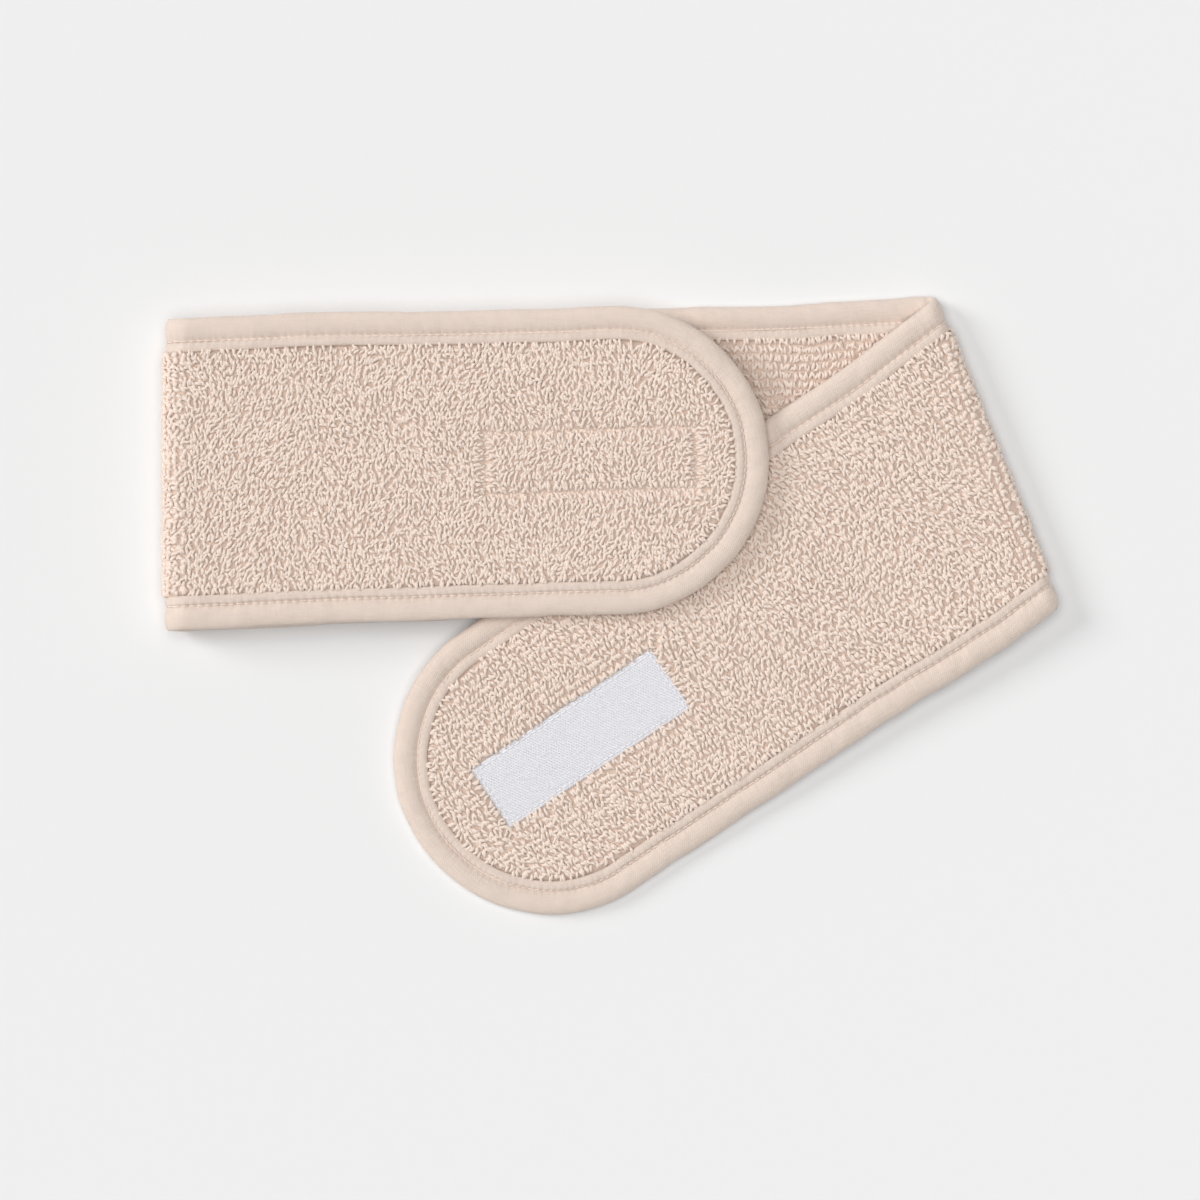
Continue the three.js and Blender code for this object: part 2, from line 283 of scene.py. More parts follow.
def add_piece(name, points, faces, material, uv=None, uv_name="tape"):
    """A mesh piece of quads. Flat strip coordinates are left-handed, so faces are turned over."""
    mesh = bpy.data.meshes.new(name)
    faces = faces[:, ::-1]
    mesh.vertices.add(len(points))
    mesh.vertices.foreach_set("co", np.ascontiguousarray(points, np.float32).ravel())
    mesh.loops.add(faces.size)
    mesh.loops.foreach_set("vertex_index", np.ascontiguousarray(faces, np.int32).ravel())
    mesh.polygons.add(len(faces))
    mesh.polygons.foreach_set("loop_start", np.arange(0, faces.size, 4, dtype=np.int32))
    mesh.polygons.foreach_set("use_smooth", np.ones(len(faces), bool))
    if uv is not None:
        layer = mesh.uv_layers.new(name=uv_name)
        corners = uv[faces.ravel()] if len(uv) == len(points) else uv.reshape(-1, 4, 2)[:, ::-1]
        layer.data.foreach_set("uv", np.ascontiguousarray(corners, np.float32).ravel())
    mesh.update(calc_edges=True)
    mesh.materials.append(material)
    piece = bpy.data.objects.new(name, mesh)
    bpy.context.scene.collection.objects.link(piece)
    return piece


def hang(piece, stretch, nodes=()):
    """Bakes a finished piece's placement into its mesh and hides the frame's parts that it stands
    for.
    """
    start, end = (fold_point(stretch.fold, share) for share in stretch.shares)
    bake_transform(piece)
    if nodes:
        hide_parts(*nodes)


def grid_faces(rows, columns, closed=False):
    """Quads between rows of points, each row optionally closed on itself."""
    column = np.arange(columns - (not closed))
    after = (column + 1) % columns
    start = np.arange(rows - 1)[:, None] * columns
    quads = [start + column, start + after, start + columns + after, start + columns + column]
    return np.stack([q.ravel() for q in quads], -1)


class Wire:
    """An output of a material's nodes. Sums, products and powers of wires add Math nodes."""

    def __init__(self, finish, socket):
        self.finish = finish
        self.socket = socket

    def __add__(self, other):
        return self.finish.maths("ADD", self, other)

    def __sub__(self, other):
        return self.finish.maths("SUBTRACT", self, other)

    def __mul__(self, other):
        return self.finish.maths("MULTIPLY", self, other)

    def __pow__(self, other):
        return self.finish.maths("POWER", self, other)


class Finish:
    """A material and its nodes."""

    def __init__(self, name, **settings):
        self.material = bpy.data.materials.new(name)
        self.material.use_nodes = True
        self.nodes = self.material.node_tree.nodes
        self.links = self.material.node_tree.links
        self.shader = self.nodes["Principled BSDF"]
        for socket, value in settings.items():
            self.shader.inputs[socket.replace("_", " ")].default_value = value

    def node(self, kind, settings=None, inputs=None, output=0):
        made = self.nodes.new(kind)
        for key, value in (settings or {}).items():
            setattr(made, key, value)
        for key, value in (inputs or {}).items():
            self.feed(made.inputs[key], value)
        return Wire(self, made.outputs[output])

    def feed(self, socket, value):
        if isinstance(value, Wire):
            self.links.new(value.socket, socket)
        else:
            socket.default_value = value

    def maths(self, operation, *values):
        return self.node("ShaderNodeMath", {"operation": operation}, dict(enumerate(values)))

    def sine(self, value):
        return self.maths("SINE", value)

    def mix(self, share, first, second):
        inputs = {0: share, 6: first, 7: second}
        return self.node("ShaderNodeMix", {"data_type": "RGBA"}, inputs, output=2)

    def map(self, name):
        """A map's vector, and its two coordinates one by one."""
        where = self.node("ShaderNodeUVMap", {"uv_map": name})
        first = self.node("ShaderNodeSeparateXYZ", None, {0: where})
        return where, first, Wire(self, first.socket.node.outputs[1])

    def noise(self, where, scale, detail=3.0):
        inputs = {"Vector": where, "Scale": scale, "Detail": detail}
        return self.node("ShaderNodeTexNoise", None, inputs)

    def twist(self, angle):
        """From 0 to 1 and back, once round each full turn."""
        return self.sine(angle) * 0.5 + 0.5

    def stretched(self, along, across, along_scale, across_scale):
        parts = {0: along * along_scale, 1: across * across_scale}
        return self.node("ShaderNodeCombineXYZ", None, parts)

    def spread(self, value, low, high):
        """value, spread so that low becomes 0 and high becomes 1."""
        inputs = {"Value": value, "From Min": low, "From Max": high}
        return self.node("ShaderNodeMapRange", None, inputs)

    def colour(self, value):
        self.feed(self.shader.inputs["Base Color"], value)

    def bump(self, height, distance, strength):
        inputs = {"Height": height, "Distance": distance, "Strength": strength}
        self.feed(self.shader.inputs["Normal"], self.node("ShaderNodeBump", None, inputs))


def rgba(colour):
    return (*colour[:3], 1.0)


def scaled(colour, by):
    """A lighter or darker colour, with its alpha."""
    return rgba([min(1.0, c * by) for c in colour])


# ---- Sizes and colours that a maker would change ----


def number(name, description, default, **settings):
    return bpy.props.FloatProperty(
        name=name, description=description, default=default, min=0.0, **settings
    )


def length(name, description, millimetres):
    return number(name, description, millimetres * MM, unit="LENGTH", precision=5)


def tint(name, description, colour):
    return bpy.props.FloatVectorProperty(
        name=name, description=description, default=colour, size=3, min=0.0, max=1.0,
        subtype="COLOR",
    )


class HeadbandPile(bpy.types.PropertyGroup):
    ground: length("Ground cloth", "Thickness of the woven ground under the loops", 0.8)
    body: length("Matted body", "From the cloth's middle to where the loops show singly", 1.2)
    row_pitch: length("Row pitch", "From one row of loops to the next, across the band", 1.8)
    loop_pitch: length("Loop pitch", "From one loop to the next along a row", 0.82)
    loop_span: length("Loop span", "From foot to foot of one loop", 1.85)
    inner_row: length("Inner row pitch", "Row pitch on the inner face", 2.5)
    loose_row: length("Loose row pitch", "Row pitch where the loops are brushed about", 1.45)
    loose_loop: length("Loose loop pitch", "Loop pitch where the loops are brushed about", 0.94)
    loose_span: length("Loose loop span", "Loop span where the loops are brushed about", 1.7)
    column: length("Column pitch", "From one column of loops to the next round a fold", 1.9)
    yarn: length("Yarn radius", "Radius of the pile yarn", 0.48)
    start: length("Pile start", "From the band's edge to the first loops", 9.75)
    colour: tint("Yarn colour", "Colour of the pile yarn", (0.88, 0.738, 0.642))
    # Painted shade: this darker colour goes on the cloth between the loops and on the feet of the
    # loops, for the shade that falls down among them.
    shade: tint("Ground colour", "Colour of the cloth between the loops", (0.70, 0.55, 0.46))


class HeadbandBinding(bpy.types.PropertyGroup):
    width: length("Width", "How far the tape reaches in from the edge", 9.6)
    stitch_inset: length("Stitch line", "From the edge to the line of lockstitch", 6.7)
    stitch_pitch: length("Stitch length", "From one needle hole to the next", 2.2)
    thread: length("Thread radius", "Radius of the sewing thread", 0.2)
    colour: tint("Tape colour", "Colour of the binding tape", (0.80, 0.665, 0.575))


class HeadbandPatch(bpy.types.PropertyGroup):
    thickness: length("Thickness", "Thickness of the tape under its hooks or loops", 1.1)
    hook_pitch: length("Hook pitch", "From one hook to the next", 0.85)
    seam_inset: length("Stitch line", "From the patch's edge to its stitching", PATCH_SEAM / MM)
    colour: tint("Tape colour", "Colour of the hook and loop tape", (0.79, 0.783, 0.815))


class HeadbandStage(bpy.types.PropertyGroup):
    floor: tint("Floor colour", "Colour of the plain floor", (0.84, 0.84, 0.84))
    sweep_start: length("Sweep start", "How far out the floor starts to curve up", 2000.0)
    sweep_width: length("Sweep width", "How far the curved floor reaches beyond its start", 2500.0)
    sweep_slope: number("Sweep slope", "Slope at the rim", math.radians(25), subtype="ANGLE")
    key: number("Key light", "Strength of the soft main light", 1.5)
    overhead: number("Overhead light", "Strength of the light from above", 2.03)
    fill: number("Fill light", "Strength of the light all round", 0.12)


# ---- Materials ----

# Over how much of a map each fine pattern repeats.
TAPE_WEAVE = 0.7 * MM
THREAD_TWIST = 0.5 * MM
PATCH_GRAIN = 0.9 * MM
# Each loop's map lies in one of this many strips, each with its own tone.
SHADES = 64


def yarn_finish(colour, shade):
    """Pile yarn with its twist, and painted shade deepening towards the feet of each loop, down
    among the other loops.
    """
    finish = Finish("terry_yarn", Roughness=0.85, Sheen_Weight=0.25, Sheen_Roughness=0.5)
    _, along, around = finish.map("OFBake")
    tone = finish.noise(finish.node("ShaderNodeCombineXYZ", None, {1: around}), 23.0)
    twist = finish.twist(along * 60.0 + around * (2 * math.pi * SHADES))
    pale = finish.mix(tone, scaled(colour, 0.90), scaled(colour, 1.12))
    # Painted shade: the colour darkens towards both feet of each loop, where the loops crowd
    # together and shade falls.
    feet = finish.maths("ABSOLUTE", along * 2.0 - 1.0) ** 3.0
    foot_shaded = finish.mix(feet * 0.75, pale, rgba(shade))
    finish.colour(finish.mix(twist * 0.22, foot_shaded, scaled(colour, 0.80)))
    finish.bump(twist, 0.00006, 0.5)
    return finish.material


def ground_shade_finish(colour):
    """Matted ground between the loops, painted darker than their tips for the shade that falls down
    between them.
    """
    finish = Finish("terry_ground", Roughness=0.95)
    shade = finish.noise(finish.node("ShaderNodeUVMap", {"uv_map": "tape"}), 900.0)
    finish.colour(finish.mix(shade, scaled(colour, 0.82), scaled(colour, 1.12)))
    finish.bump(shade, 0.0001, 0.6)
    return finish.material


def tape_finish(colour):
    """Plain woven cotton tape: a fine over-and-under weave, slubs both ways and faint mottling."""
    finish = Finish("binding_tape", Roughness=0.8, Sheen_Weight=0.25, Sheen_Roughness=0.5)
    where, along, across = finish.map("tape")
    per_thread = 2 * math.pi / TAPE_WEAVE
    weave = finish.sine(along * per_thread) * finish.sine(across * per_thread)
    warp = finish.noise(finish.stretched(along, across, 250.0, 2600.0), 1.0, 2.0)
    weft = finish.noise(finish.stretched(along, across, 2600.0, 250.0), 1.0, 2.0)
    mottle = finish.noise(where, 160.0, 4.0)
    threads = (warp + weft) * 0.5 + weave * 0.16
    pale = finish.mix(mottle, scaled(colour, 0.93), scaled(colour, 1.07))
    finish.colour(finish.mix(finish.spread(threads, 0.32, 0.68) * 0.42, pale, scaled(colour, 0.68)))
    finish.bump(threads, 0.0003, 0.7)
    return finish.material


def thread_finish(name, colour):
    """Spun sewing thread with its twist."""
    finish = Finish(name, Roughness=0.7, Sheen_Weight=0.2)
    _, along, _ = finish.map("tape")
    twist = finish.twist(along * (2 * math.pi / THREAD_TWIST))
    finish.colour(finish.mix(twist * 0.3, rgba(colour), scaled(colour, 0.78)))
    return finish.material


def patch_finish(name, colour):
    """Woven nylon tape with a fine diagonal grain."""
    finish = Finish(name, Roughness=0.55, Sheen_Weight=0.1)
    where, along, across = finish.map("tape")
    grain = finish.twist((along + across * 0.8) * (2 * math.pi / PATCH_GRAIN))
    fleck = finish.noise(where, 1400.0, 3.0)
    base = finish.mix(fleck, scaled(colour, 0.93), scaled(colour, 1.06))
    finish.colour(finish.mix(grain * 0.12, base, scaled(colour, 0.84)))
    finish.bump(grain * 0.4 + fleck, 0.00006, 0.5)
    return finish.material


def floor_finish(colour):
    """Plain matt paint."""
    settings = dict(Base_Color=rgba(colour), Roughness=1.0, Specular_IOR_Level=0.0)
    return Finish("floor_paint", **settings).material


# ---- Ground cloth ----

# From one row of the cloth's mesh to the next, and near a fold.
CLOTH_GRID, FOLD_GRID = 0.6 * MM, 0.35 * MM


def spaced(total, fine, coarse, near):
    """Distances from 0 to total, fine apart up to near and about coarse apart after it."""
    close = np.arange(0, near, fine)
    rest = np.linspace(near, total, max(2, int(round((total - near) / coarse)) + 1))
    return np.concatenate([close, rest])


def straight_length(stretch):
    """How far a stretch runs straight on from its fold line."""
    return abs((stretch.centre or 0.0) - stretch.cut(0.0))


def stretch_length(stretch, half):
    """Flat length of a stretch along the middle of a strip this wide."""
    far_end = 0.0 if stretch.centre is None else stretch.centre + stretch.way * half
    return abs(far_end - stretch.cut(0.0))


def strip_rows(stretch, half, fine, coarse):
    """Rows of shares from a stretch's fold line to its other end, for a strip this wide."""
    total = stretch_length(stretch, half)
    return spaced(total, fine, coarse, 4.2 * stretch.fold.radius) / total


def strip_place(stretch, half, share, v):
    """s for a share of the way from the fold line to the stretch's other end."""
    end = np.zeros_like(v)
    if stretch.centre is not None:
        end = stretch.centre + stretch.way * np.sqrt(np.maximum(half * half - v * v, 0))
    start = stretch.cut(v)
    return start + (end - start) * share


def body_height(s, v, sizes, face):
    """How far the cloth's matted body stands from its middle, under the tips of the loops."""
    inset = inset_of(s, v)
    patch = HOOK if face > 0 else LOOP
    gap, _, _ = beside(patch, s, v)
    thin = sizes.ground / 2
    free = np.clip((np.minimum(inset - sizes.start, gap) + 0.2 * MM) / (0.7 * MM), 0, 1)
    lumps = 0.6 * noise(s, v, 1.1 * MM, 60 + face) + 0.4 * noise(s, v, 0.75 * MM, 62 + face)
    full = sizes.body + lumps * 0.25 * MM - 0.5 * MM * pressed(s, v, face)
    return thin + (full - thin) * free


def cloth_mesh(stretch, half, sizes, material, name):
    """A closed slab over one stretch: the woven ground with the matted feet of its loops."""
    across = np.linspace(-half, half, int(2 * half / CLOTH_GRID))
    shares = strip_rows(stretch, half, FOLD_GRID, CLOTH_GRID)
    share, v = np.meshgrid(shares, across, indexing="ij")
    s = strip_place(stretch, half, share, v)
    upper, lower = (folded(s, v, face * body_height(s, v, sizes, face)) for face in (1, -1))
    return slab_mesh(upper, lower, stretch.way < 0, s, v, material, name)


def slab_mesh(upper, lower, turned, s, v, material, name):
    """A closed slab between two grids of points, mapped by its flat coordinates."""
    rows, columns = s.shape
    top = grid_faces(rows, columns)
    bottom = top[:, ::-1] + rows * columns
    faces = np.concatenate([top, bottom, rim_faces(rows, columns)])
    if turned:
        faces = faces[:, ::-1]
    uv = np.tile(np.stack([s.ravel(), v.ravel()], -1), (2, 1))
    points = np.concatenate([upper, lower]).reshape(-1, 3)
    return add_piece(name, points, faces, material, uv)


def rim_faces(rows, columns):
    """The faces that close the edge between two grids, the second one below the first."""
    rim = np.concatenate([
        np.arange(columns), np.arange(1, rows) * columns + columns - 1,
        (rows - 1) * columns + np.arange(columns - 2, -1, -1), np.arange(rows - 2, 0, -1) * columns,
    ])
    after = np.roll(rim, -1)
    return np.stack([after, rim, rim + rows * columns, after + rows * columns], -1)


def stretch_area(stretch, half):
    """Flat area of a stretch of a strip this wide."""
    round_end = 0.0 if stretch.centre is None else math.pi * half * half / 2
    return 2 * half * straight_length(stretch) + round_end


# ---- Pile ----

# How far from a fold's outermost line the loops stand in columns, and how surely.
COLUMN_REACH = 13 * MM
COLUMN_PULL = 0.75
HALF_CENTRE_BAND = HALF_BAND * 0.27


def patch_frame(stretch, node):
    """A patch's centre on the unfolded strip and its half length and half width."""
    low, high = (np.array(p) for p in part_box(node))
    centre = (low + high) / 2
    if stretch.fold is LEFT:
        s = LEFT.axis[0] - math.pi * LEFT.radius - (centre[0] - LEFT.axis[0])
    else:
        s = LOWER_END - np.linalg.norm(centre[:2] - lower_low[:2] - HALF_BAND)
    lean = 2 * math.acos(min(1.0, abs(stretch.fold.out[0])))
    spread = high - low
    a, b = math.cos(lean), math.sin(lean)
    long_side = (spread[0] * a - spread[1] * b) / (a * a - b * b)
    wide_side = (spread[1] * a - spread[0] * b) / (a * a - b * b)
    return SimpleNamespace(s=s, long=long_side / 2, wide=wide_side / 2)


HOOK = patch_frame(LOWER_STRETCH, "hook_patch")
LOOP = patch_frame(TOP_STRETCH, "loop_patch")


def beside(patch, s, v):
    """Signed distance outside a patch's edge, and the direction away from it."""
    x, y = s - patch.s, v
    over_x, over_y = np.abs(x) - patch.long, np.abs(y) - patch.wide
    outside = np.hypot(np.maximum(over_x, 0), np.maximum(over_y, 0))
    distance = np.where((over_x > 0) | (over_y > 0), outside, np.maximum(over_x, over_y))
    along = over_x > over_y
    return distance, np.where(along, np.sign(x), 0.0), np.where(along, 0.0, np.sign(y))


def pressed(s, v, face):
    """How hard the other face's patch, sewn through, holds the pile down, from 0 to 1."""
    through, _, _ = beside(LOOP if face > 0 else HOOK, s, v)
    return np.exp(-(((through + PATCH_SEAM) / (1.1 * MM)) ** 2))


# For brushed loops and for loops in rows: how far they stray from their row, in row pitches, how
# much their lie swirls and how much each turns on its own, in radians.
STRAY = (0.15, 0.11)
SWIRL = (0.7, 0.45)
TURN = (0.42, 0.36)
# A loop this near a fold's column is part of its chain, and is this much shorter.
CHAIN_FROM, CHAIN_SPAN = 0.4, 0.8


def lattice(low, high, half, row_pitch, loop_pitch):
    """Flat points in rows along the band, each row half a pitch on from the one before."""
    rows = np.linspace(-half, half, int(round(2 * half / row_pitch)) + 1)
    steps = np.arange(low, high, loop_pitch)
    s, v = np.meshgrid(steps, rows)
    s = s + (np.arange(len(rows)) % 2 * loop_pitch / 2)[:, None]
    return s.ravel(), v.ravel()


def into_columns(s, v, angle, column):
    """Moves loops near a fold into columns along it, each column a chain of short loops."""
    chained = np.zeros(len(s), bool)
    for fold in (LEFT, RIGHT):
        past = across_fold(fold, s, v)[0] - math.pi * fold.radius / 2
        near = fade(past, COLUMN_REACH)
        move = (np.round(past / column) * column - past) * COLUMN_PULL * near
        s, v = s + move * fold.out[0], v + move * fold.out[1]
        lean = angle - math.pi / 2
        along = math.atan2(fold.out[0], -fold.out[1]) + 0.8 * lean
        angle = np.where(near > CHAIN_FROM, along, angle)
        chained |= near > CHAIN_FROM
    return s, v, angle, chained


def loop_feet(sizes, face, seed):
    """Where each loop of a face stands, with its direction, height and span."""
    rng = np.random.default_rng(seed)
    half = HALF_BAND - sizes.start - 0.3 * MM
    # The rows show plainly on the lower leg and the inner face, and are brushed about elsewhere.
    low, high = TOP_END - half, LOWER_END + half
    split = low if face < 0 else 0.0
    loose = lattice(low, split, half, sizes.loose_row, sizes.loose_loop)
    even_row = sizes.row_pitch if face > 0 else sizes.inner_row
    even = lattice(split, high, half, even_row, sizes.loop_pitch)
    s, v = (np.concatenate(pair) for pair in zip(loose, even))
    brushed = np.arange(len(s)) < len(loose[0])
    count = len(s)
    s = s + rng.uniform(-0.3, 0.3, count) * sizes.loop_pitch
    v = v + rng.normal(0, np.where(brushed, *STRAY)) * sizes.row_pitch
    v = v + 0.5 * MM * noise(s, v, 11 * MM, seed)
    angle = math.pi / 2 + np.where(brushed, *SWIRL) * noise(s, v, 13 * MM, seed + 1)
    angle = angle + rng.normal(0, np.where(brushed, *TURN))
    chained = np.zeros(count, bool)
    if face > 0:
        s, v, angle, chained = into_columns(s, v, angle, sizes.column)
    height = rng.uniform(0.8, 1.0, count) * (1 + 0.08 * noise(s, v, 6 * MM, seed + 2))
    span = np.where(brushed, sizes.loose_span, sizes.loop_span) * rng.uniform(0.8, 1.15, count)
    span = np.where(chained, CHAIN_SPAN, 1.0) * span
    # Along the binding the loops stand square to its lip.
    inset = inset_of(s, v)
    past = np.where(s < TOP_END, s - TOP_END, np.maximum(s - LOWER_END, 0))
    square = np.arctan2(v, past)
    angle = np.where(inset < sizes.start + 1.4 * MM, square + rng.normal(0, 0.25, count), angle)
    gap, away_s, away_v = beside(HOOK if face > 0 else LOOP, s, v)
    keep = (inset > sizes.start) & (gap > 0.25 * MM)
    # Loops beside a patch stand square to its edge and lean over it.
    close = np.clip(1 - gap / (2.2 * MM), 0, 1)
    square = np.arctan2(away_v, away_s) + rng.normal(0, 0.3, count)
    angle = np.where(close > 0, square, angle)
    back = np.maximum(span / 2 - 0.45 * MM - gap, -0.9 * MM) * close ** 0.4
    back = np.where(close > 0, back, 0)
    s, v = s + away_s * back, v + away_v * back
    # Where the other face's patch is sewn through, the loops part along its stitching.
    through, away_s, away_v = beside(LOOP if face > 0 else HOOK, s, v)
    parting = np.arctan2(away_v, away_s) + rng.normal(0, 0.25, count)
    angle = np.where(np.abs(through + PATCH_SEAM) < 3.2 * MM, parting, angle)
    height = height * (1 - 0.95 * pressed(s, v, face))
    return tuple(a[keep] for a in (s, v, angle, np.clip(height, 0.05, 1.05), span))


def pile_mesh(sizes, feet, face, material, name, seed):
    """Loops as yarn arches that start in the matted body, with curls in their tops."""
    s, v, angle, height, span = feet
    rng = np.random.default_rng(seed)
    count, rings, sides = len(s), 6, 5
    turn = np.linspace(0, math.pi, rings)
    foot = sizes.body - 0.75 * MM
    tip = HALF_CLOTH - 0.85 * sizes.yarn
    rise = (tip - foot) * height[:, None]
    lean = rng.normal(0, 0.14, (count, 2, 1)) * MM
    along = -np.cos(turn) * span[:, None] / 2
    curl = np.sin(2 * turn) * rng.normal(0, 0.22, (count, 1)) * MM
    curl = curl + np.sin(turn) * rng.normal(0, 0.36, (count, 1)) * MM
    up = np.sin(turn) ** 0.4
    x = along * np.cos(angle)[:, None] - curl * np.sin(angle)[:, None] + lean[:, 0] * up
    y = along * np.sin(angle)[:, None] + curl * np.cos(angle)[:, None] + lean[:, 1] * up
    path = np.stack([s[:, None] + x, v[:, None] + y, foot + rise * up], -1)
    radius = sizes.yarn * rng.uniform(0.88, 1.1, (count, 1)) * (0.72 + 0.34 * np.sin(turn))
    ring = tube_rings(path, angle, radius, sides).reshape(-1, 3)
    height = np.clip(face * ring[:, 2], -HALF_CLOTH, HALF_CLOTH)
    points = folded(ring[:, 0], ring[:, 1], height)
    faces = tube_faces(count, rings, sides)
    # The map runs along the loop one way, and round it within the loop's own strip the other.
    strip = rng.integers(0, SHADES, count)
    row, column = np.divmod(np.arange((rings - 1) * sides), sides)
    u = np.stack([row, row, row + 1, row + 1], -1) / (rings - 1)
    w = np.stack([column, column + 1, column + 1, column], -1) / sides
    uv = np.empty((count, len(row), 4, 2))
    uv[..., 0] = 0.02 + 0.96 * u
    uv[..., 1] = (strip[:, None, None] + 0.06 + 0.88 * w) / SHADES
    if face > 0:
        faces, uv = faces[:, ::-1], uv[:, :, ::-1]
    return add_piece(name, points, faces, material, uv.reshape(-1, 4, 2), "OFBake")


def tube_rings(path, angle, radius, sides):
    """Rings of points round many short paths, each lying along its own angle."""
    tangent = np.gradient(path, axis=1)
    tangent /= np.linalg.norm(tangent, axis=-1, keepdims=True)
    side = np.stack([-np.sin(angle), np.cos(angle), np.zeros(len(angle))], -1)[:, None, :]
    side = side - (side * tangent).sum(-1, keepdims=True) * tangent
    side /= np.linalg.norm(side, axis=-1, keepdims=True)
    third = np.cross(tangent, side)
    around = (np.arange(sides) * 2 * math.pi / sides)[None, None, :, None]
    outward = np.cos(around) * side[:, :, None, :] + np.sin(around) * third[:, :, None, :]
    return path[:, :, None, :] + radius[:, :, None, None] * outward


def tube_faces(count, rings, sides):
    """The faces of many like tubes, one after another."""
    starts = np.arange(count) * rings * sides
    return (grid_faces(rings, sides, closed=True) + starts[:, None, None]).reshape(-1, 4)


# ---- Binding ----

# How much flatter the tape's outer side lies where a fold is outermost, as a share.
FOLD_THINNING = 0.45


def edge_lengths(stretch):
    """A stretch's edges and their lengths: front -1 and rear 1, or 0 for one round its end."""
    straight = straight_length(stretch)
    if stretch.centre is None:
        return [(-1, straight), (1, straight)]
    return [(0, 2 * straight + math.pi * HALF_BAND)]


def edge_place(stretch, side, t, inset):
    """Flat s and v for a distance t along an edge and an inset from it."""
    reach = HALF_BAND - inset
    straight = straight_length(stretch)
    if side:
        v = side * reach
        start = stretch.cut(v)
        return start - start * t / straight, v
    end, total = stretch.centre, 2 * straight + math.pi * HALF_BAND
    turn = np.clip((t - straight) / HALF_BAND, 0, math.pi)
    share = np.clip(np.where(t < straight, t, total - t) / straight, 0, 1)
    v = -reach * np.cos(turn)
    start = stretch.cut(v)
    s_straight = start + (end - start) * share
    s_round = end + stretch.way * reach * np.sin(turn)
    on_end = (t >= straight) & (t <= straight + math.pi * HALF_BAND)
    return np.where(on_end, s_round, s_straight), v


def binding_profile(sizes):
    """Half of the tape's section, from its inner lip out to the edge: inset and height."""
    line, width = sizes.stitch_inset / MM, sizes.width / MM
    lip = [(width, 1.0), (width - 0.1, 1.5), (width - 0.4, 1.78), (width - 1.2, 1.88)]
    groove = [(line + 0.8, 1.9), (line + 0.3, 1.75), (line + 0.05, 1.25), (line - 0.3, 1.3)]
    roll = [(line - 0.9, 1.72), (line - 1.8, 2.04), (3.9, 2.2), (2.9, 2.2), (1.9, 2.02)]
    edge = [(1.0, 1.6), (0.4, 1.05), (0.1, 0.5)]
    outer = lip + groove + roll + edge
    inner = [(width - 0.25, 0.5), (4.5, 0.55), (1.7, 0.5)]
    loop = outer + [(0.0, 0.0)] + [(d, -n) for d, n in reversed(outer)]
    loop += [(d, -n) for d, n in inner] + [(1.4, 0.0)] + [(d, n) for d, n in reversed(inner)]
    return np.array(loop) * MM


def binding_mesh(stretch, side, total, sizes, material, name):
    """The tape along one edge, with dimples at the needle holes and soft puckers."""
    profile = binding_profile(sizes)
    count, corners = int(round(total / (sizes.stitch_pitch / 4))) + 1, len(profile)
    t = np.linspace(0, total, count)[:, None]
    inset, height = (np.broadcast_to(p, (count, corners)) for p in profile.T)
    face = np.sign(height)
    at_line = np.exp(-(((inset - sizes.stitch_inset) / (0.8 * MM)) ** 2))
    hole = (0.5 + 0.5 * np.cos(2 * math.pi * t / sizes.stitch_pitch)) ** 2
    dip = at_line * (np.abs(height) > 0.9 * MM) * hole * 0.45 * MM
    seed = 20 + len(name)
    pucker = noise(t, inset * 0.45, 2.6 * MM, seed) * 0.10 * MM
    pucker = pucker + noise(t, inset, 9 * MM, seed + 1) * 0.13 * MM
    crease = noise(t + inset * 0.8, inset * 0.35, 4.2 * MM, seed + 4)
    pucker = pucker - 0.34 * MM * np.clip(crease - 0.2, 0, 1)
    quiet = np.clip(np.minimum(t, total - t) / (6 * MM), 0, 1)
    on_roll = quiet * np.clip(inset / (2 * MM), 0, 1) * (np.abs(height) > 0.6 * MM)
    height = height - face * dip + face * pucker * on_roll
    height = np.clip(height, -HALF_CLOTH, HALF_CLOTH + 0.1 * MM)
    waver = noise(t, 0.0, 7 * MM, seed + 2) * 0.16 * MM
    waver = waver + noise(t, 0.0, 24 * MM, seed + 3) * 0.2 * MM
    s, v = edge_place(stretch, side, np.broadcast_to(t, inset.shape), inset + waver * quiet)
    height = height * (1 - FOLD_THINNING * bend_of(s, v) * (height > 0))
    points = folded(s, v, height).reshape(-1, 3)
    faces = grid_faces(count, corners, closed=True)
    around = np.arange(corners) * TAPE_WEAVE
    uv = np.stack(np.broadcast_arrays(t, around), -1).reshape(-1, 2)[faces]
    uv[faces[:, 1] % corners == 0, 1:3, 1] = corners * TAPE_WEAVE
    if side * stretch.way > 0 or (side == 0 and stretch.way < 0):
        faces, uv = faces[:, ::-1], uv[:, ::-1]
    return add_piece(name, points, faces, material, uv.reshape(-1, 4, 2))


def seam_route(stretch, side, face, inset):
    """How a row of lockstitch lies along an edge, on one face of the tape."""

    def route(t, aside, above):
        s, v = edge_place(stretch, side, t, inset + aside)
        tight = 1 - FOLD_THINNING * bend_of(s, v) * (face > 0)
        return folded(s, v, face * tight * (1.2 * MM + above))

    return route


